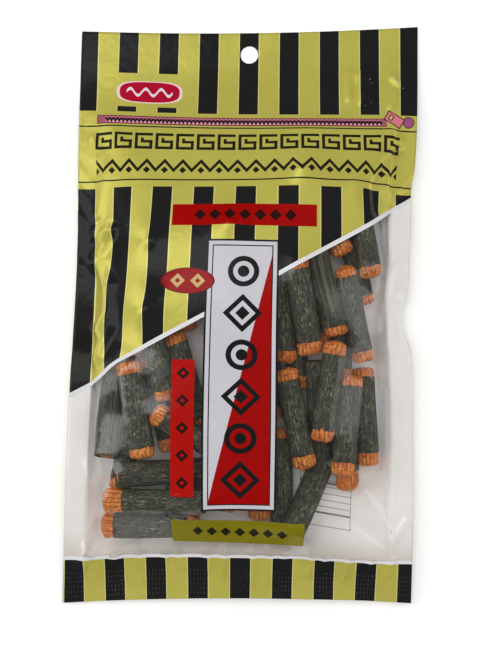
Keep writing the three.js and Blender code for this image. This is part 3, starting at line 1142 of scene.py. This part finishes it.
def side_signs(m):
    """The oval left of the label, with two diamonds, and the strip under it with five."""
    a, b = m.from_point(*OVAL)
    ring = m.distance(m.math("DIVIDE", a, OVAL_HALF[0]), m.math("DIVIDE", b, OVAL_HALF[1]))
    for reach, colour in ((1.0, srgb(104, 6, 10)), (0.93, srgb(146, 8, 16))):
        m.ink(m.below(ring, reach), colour)
    m.ink(m.diamond(m.minus(m.size(a), 4.2), b, 3.1, hole=1.2), srgb(196, 166, 110))
    strip = m.box(*SIDE_STRIP)
    m.ink(strip, srgb(164, 14, 8))
    a, b = m.from_point(*STRIP_SIGN)
    m.ink(m.both(strip, m.diamond(a, m.every(STRIP_PITCH, b), 2.7, hole=1.0)), srgb(40, 22, 20))


def weight_band(m):
    m.ink(m.box(*WEIGHT_BAND), srgb(132, 123, 20), 0.6)
    m.diamonds(5.8, 31.8, 2.3, 20.3, srgb(34, 32, 16))


def front_print():
    m = Print("printed_film")
    for draw in (ground, plaque, toothed_band, fretwork, red_band, window, label, side_signs, weight_band):
        draw(m)
    return m


def printed_film():
    m = front_print()
    ripple = m.noise(m.flat, 0.16, detail=2.0)
    shade = m.spread(m.noise(m.flat, 0.05, detail=2.0), 0.3, 0.7, 0.95, 1.04)
    tint = m.node("CombineColor", {0: shade, 1: shade, 2: shade}).outputs[0]
    colour = m.node("Mix", {0: 1.0, 6: m.colour, 7: tint}, data_type="RGBA", blend_type="MULTIPLY").outputs[2]
    rough = m.blend(m.metal, 0.16, m.spread(ripple, 0.3, 0.7, 0.28, 0.33))
    ink = m.principled(colour, rough, Metallic=m.times(m.metal, 0.36), Specular_IOR_Level=0.12,
                       Coat_Weight=0.17, Coat_Roughness=0.15, Normal=m.bumped(ripple, 0.25))
    return m.finish(m.mix_shader(m.clear, ink, clear_film(m, m.bumped(ripple, 0.1))))


def clear_film(m, normal):
    """Film without ink, which is more of a mirror where it is seen aslant."""
    slant = m.node("LayerWeight", {"Blend": 0.5, "Normal": normal}).outputs["Facing"]
    mirror = m.math("MULTIPLY_ADD", m.math("POWER", slant, 4.0), 0.6, 0.08)
    through = m.node("BsdfTransparent", {"Color": (0.97, 0.97, 0.965)}).outputs[0]
    shine = m.node("BsdfGlossy", {"Color": (1, 1, 1), "Roughness": 0.13, "Normal": normal}).outputs[0]
    haze = m.node("BsdfDiffuse", {"Color": (0.9, 0.9, 0.9), "Normal": normal}).outputs[0]
    return m.mix_shader(0.01, m.mix_shader(mirror, through, shine), haze)


def film_inside():
    """The inside of the front film: silver under the ink, and nothing but film in the window."""
    m = front_print()
    silver = m.principled((0.55, 0.54, 0.5), 0.45, Metallic=0.3)
    through = m.node("BsdfTransparent", {"Color": (1, 1, 1)}).outputs[0]
    return m.finish(m.mix_shader(m.clear, silver, through))


TABLE = (25.0, 47.5, 32.2, 72.0)  # the ruled table on the back
TABLE_PITCH, TABLE_SLANT = 2.9, 0.16
HEAVY_LINES = (5.5, 6.3), (18.6, 19.7)  # from its bottom edge
BACK_PANEL = (-62, 62, 26, 204)


def ruled_table(m):
    left, right, low, high = TABLE
    v = m.math("MULTIPLY_ADD", m.minus(m.p, right), TABLE_SLANT, m.v)

    def inset(by):
        return m.both(m.within(m.p, left + by, right - by), m.within(v, low + by, high - by))

    rows = m.both(m.near(m.every(TABLE_PITCH, m.minus(v, low)), 0.0, 0.14), m.within(v, low + 4.5, high))
    heavy = m.either(*(m.within(v, low + start, low + end) for start, end in HEAVY_LINES))
    return m.both(inset(0.0), m.either(m.without(inset(0.25)), rows, heavy))


def back_inside():
    m = Print("back_film")
    # Painted shade: the white inside of the back film turns darker and warmer towards the bottom seal, from v
    # 30 down to v 19.
    m.colour = m.mix(m.spread(m.v, 30.0, 19.0), srgb(244, 241, 238), srgb(218, 209, 198))
    m.ink(ruled_table(m), srgb(84, 84, 96))
    cloud = m.spread(m.noise(m.flat, 0.08), 0.35, 0.65)
    colour = m.mix(m.times(cloud, 0.3), m.colour, srgb(222, 218, 215))
    normal = m.bumped(m.noise(m.flat, 0.5), 0.1)
    return m.finish(m.principled(colour, m.spread(cloud, 0, 1, 0.36, 0.5), Normal=normal))


def back_outside():
    m = Print("back_print")
    m.ink(m.both(m.stripes(), m.without(m.within(m.v, 24, 206))), BLACK)
    m.ink(m.box(*BACK_PANEL), WHITE)
    m.ink(ruled_table(m), srgb(60, 58, 58))
    grain = m.noise(m.flat, 0.9)
    colour = m.mix(m.spread(grain, 0.3, 0.7, 0.0, 0.12), m.colour, srgb(150, 142, 90))
    ink = m.principled(colour, m.spread(grain, 0.3, 0.7, 0.28, 0.36), Metallic=m.times(m.metal, 0.7),
                       Coat_Weight=0.5, Coat_Roughness=0.12, Normal=m.bumped(grain, 0.05))
    return m.finish(ink)


def seaweed():
    """Green-black, with olive fibres along the sheet that lie thicker in some places."""
    m = Shader("seaweed")
    sheet = m.node("UVMap", uv_map="sheet").outputs[0]
    patches = m.noise(sheet, 0.16, detail=2.0)
    mottle = m.noise(sheet, 0.6, detail=5.0, roughness=0.7)
    fibres = m.noise(m.scaled(sheet, (1.7, 0.42, 1)), 1.0, detail=4.0, roughness=0.7, distortion=0.6)
    strands = m.noise(m.scaled(sheet, (1.3, 0.07, 1)), 1.0, detail=3.0)
    colour = m.mix(m.spread(mottle, 0.40, 0.62), srgb(41, 41, 37), srgb(73, 73, 63))
    thick = m.spread(patches, 0.36, 0.60, 0.25, 1.0)
    colour = m.mix(m.times(thick, m.spread(fibres, 0.51, 0.65)), colour, srgb(142, 143, 106))
    colour = m.mix(m.times(thick, m.spread(strands, 0.58, 0.70, 0.0, 0.75)), colour, srgb(158, 160, 136))
    height = m.math("MULTIPLY_ADD", fibres, 0.6, m.times(mottle, 0.4))
    rough = m.spread(mottle, 0.3, 0.7, 0.42, 0.6)
    return m.finish(m.principled(colour, rough, Specular_IOR_Level=0.35, Normal=m.bumped(height, 0.6)))


def toasted_rice():
    """Orange glazed cracker: darker and redder in the pores, paler in other spots, with painted shade
    darkening the grooves between the ribs.
    """
    m = Shader("rice_cracker")
    where = m.node("TexCoord").outputs["Object"]
    cloud = m.noise(where, 300.0, detail=4.0, roughness=0.6)
    pores = m.noise(where, 1100.0, detail=3.0, roughness=0.6)
    colour = m.mix(m.spread(cloud, 0.35, 0.65), srgb(206, 100, 24), srgb(240, 154, 70))
    colour = m.mix(m.spread(pores, 0.50, 0.66, 0.0, 0.85), colour, srgb(122, 46, 8))
    colour = m.mix(m.spread(pores, 0.40, 0.30, 0.0, 0.8), colour, srgb(244, 184, 108))
    # Painted shade: dark brown down in the grooves between the ribs, read from the ribs' relief.
    ribs = m.node("SeparateXYZ", {0: m.node("UVMap", uv_map="ribs").outputs[0]}).outputs[0]
    colour = m.mix(m.spread(ribs, -0.16, -0.55, 0.0, 0.65), colour, srgb(92, 32, 6))
    crust = m.principled(colour, m.spread(pores, 0.3, 0.7, 0.3, 0.55), Subsurface_Weight=0.08,
                         Subsurface_Radius=(0.5, 0.2, 0.1), Subsurface_Scale=0.002, Coat_Weight=0.3,
                         Coat_Roughness=0.2, Normal=m.bumped(pores, 0.5))
    return m.finish(crust)


def plain_floor():
    m = Shader("floor")
    grain = m.noise(m.node("TexCoord").outputs["Object"], 40.0)
    colour = m.mix(grain, srgb(246, 246, 246), srgb(249, 249, 249))
    return m.finish(m.principled(colour, 0.7, Emission_Color=(1, 1, 1), Emission_Strength=0.12))


# ======== pieces
front_film = film_piece("front_film", film.front, 1, [printed_film(), film_inside()])
back_film = film_piece("back_film", film.back, -1, [back_inside(), back_outside()])
crackers = build_mesh("rice_crackers", *rice_shape, [toasted_rice()])
wraps = build_mesh("seaweed_wraps", *wrap_shape, [seaweed()])
slots = {front_film: "printed_film", back_film: "back_film", crackers: "rice_cracker", wraps: "seaweed"}
for piece, slot in slots.items():
    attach(piece, "root")
    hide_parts("cracker_pouch")


# ======== floor and light
SKY = 0.46
FLOOR_SIZE, FLOOR_DROP = 3, 0.0002  # metres


def add_stage():
    bpy.ops.mesh.primitive_plane_add(size=FLOOR_SIZE, location=(0, 0, -FLOOR_DROP))
    floor = bpy.context.object
    floor.name = "floor"
    floor.data.materials.append(plain_floor())


def area_light(name, where, size, power, mirrored=False, turn=0.0):
    """A softbox that is aimed at the pouch, and that the shiny film may mirror. turn is in degrees."""
    light = bpy.data.lights.new(name, "AREA")
    light.shape = "RECTANGLE"
    light.size, light.size_y = size
    light.energy = power
    lamp = bpy.data.objects.new(name, light)
    lamp.location = where
    aimed = (-Vector(where)).to_track_quat("-Z", "Y")
    lamp.rotation_euler = (aimed @ Quaternion((0, 0, 1), math.radians(turn))).to_euler()
    lamp.visible_glossy = mirrored
    bpy.context.scene.collection.objects.link(lamp)


def add_sky():
    """White all round, but nothing that the film mirrors."""
    world = bpy.data.worlds.new("studio")
    bpy.context.scene.world = world
    world.use_nodes = True
    background = world.node_tree.nodes["Background"]
    background.inputs["Color"].default_value = (1, 1, 1, 1)
    background.inputs["Strength"].default_value = SKY
    world.cycles_visibility.glossy = False


add_stage()
area_light("softbox_left", (-0.71, 0.15, 0.91), (0.42, 1.5), 3.5, mirrored=True, turn=26)
area_light("softbox_low", (-0.75, 0.55, 0.28), (0.5, 0.5), 1.2, mirrored=True)
area_light("softbox_front", (-0.25, -0.9, 0.39), (0.35, 0.38), 0.28, mirrored=True)
area_light("strip_right", (0.80, 0.0, 0.56), (0.24, 1.0), 0.6, mirrored=True)
area_light("fill_right", (0.92, 0.0, 0.64), (1.0, 1.2), 1.4)
area_light("fill_above", (0.0, 0.1, 1.3), (1.2, 1.2), 7.0)
add_sky()
bpy.context.scene.view_settings.view_transform = "Standard"
